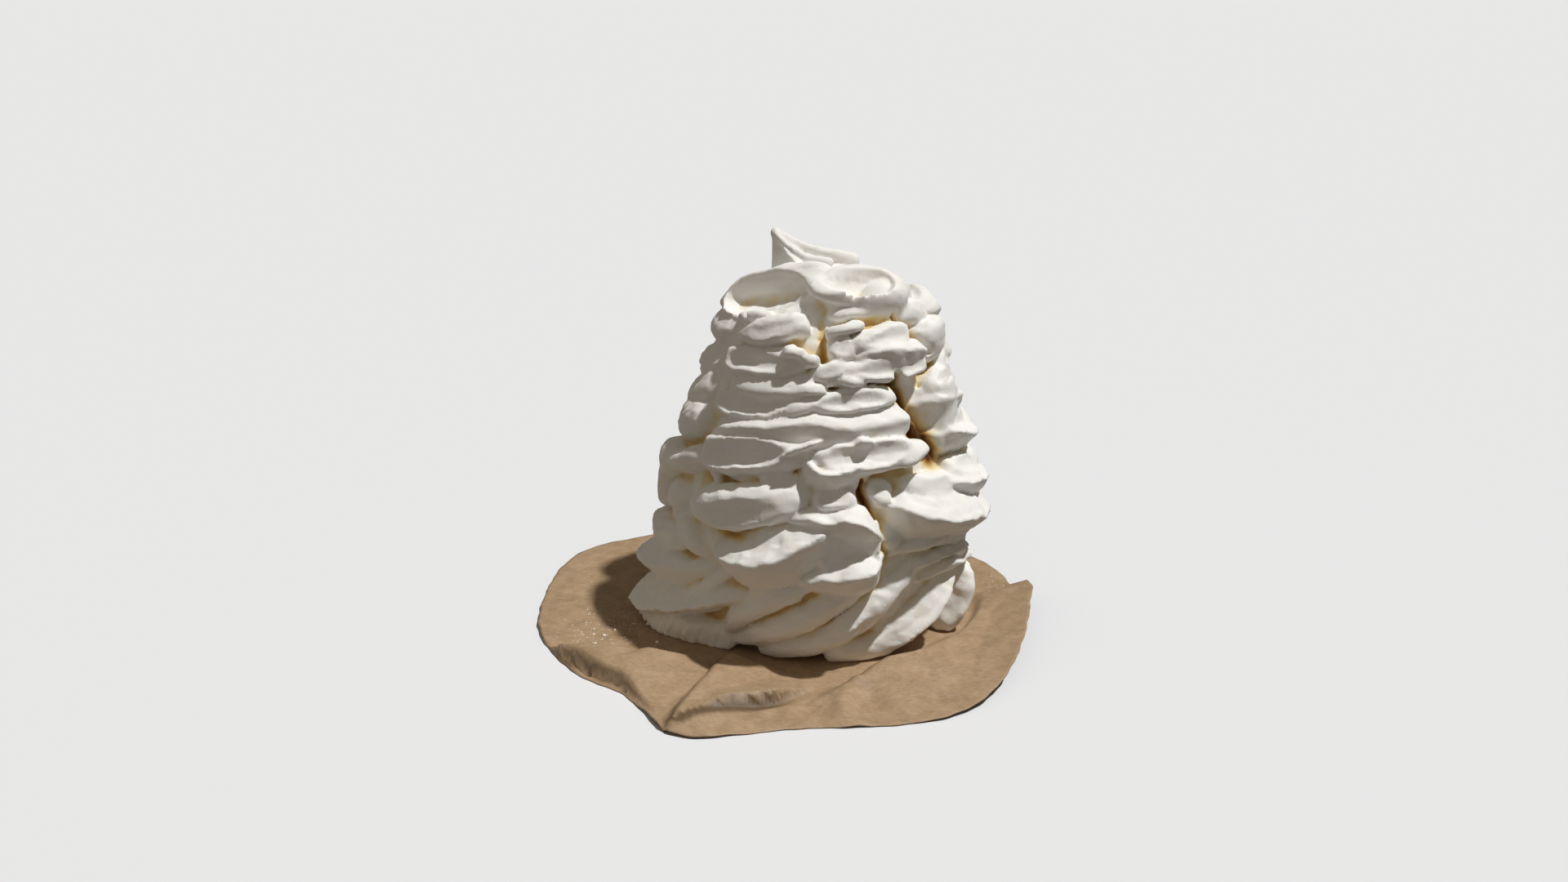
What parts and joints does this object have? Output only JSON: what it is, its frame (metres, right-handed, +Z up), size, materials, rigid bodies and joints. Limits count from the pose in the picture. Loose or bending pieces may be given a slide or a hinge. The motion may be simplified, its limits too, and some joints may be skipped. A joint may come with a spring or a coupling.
{
  "type": "meringue",
  "caption": "Tall baked meringue with torn shelves, scooped faces and swept folds round its foot, on a round of crumpled brown baking paper.",
  "frame": {"origin": "on the floor, under the meringue's upright axis, on the underside of the flat part of the baking paper", "axes": "+Z up, -Y towards the front, which is the side with the big lens-shaped spoonful, +X to the right seen from the front"},
  "size_m": [0.1537, 0.1524, 0.1174],
  "materials": {
    "meringue": "matte",
    "baking_paper": "matte"
  },
  "bodies": {
    "root": {"meringue": "meringue", "baking_paper": "baking_paper"}
  },
  "joints": []
}
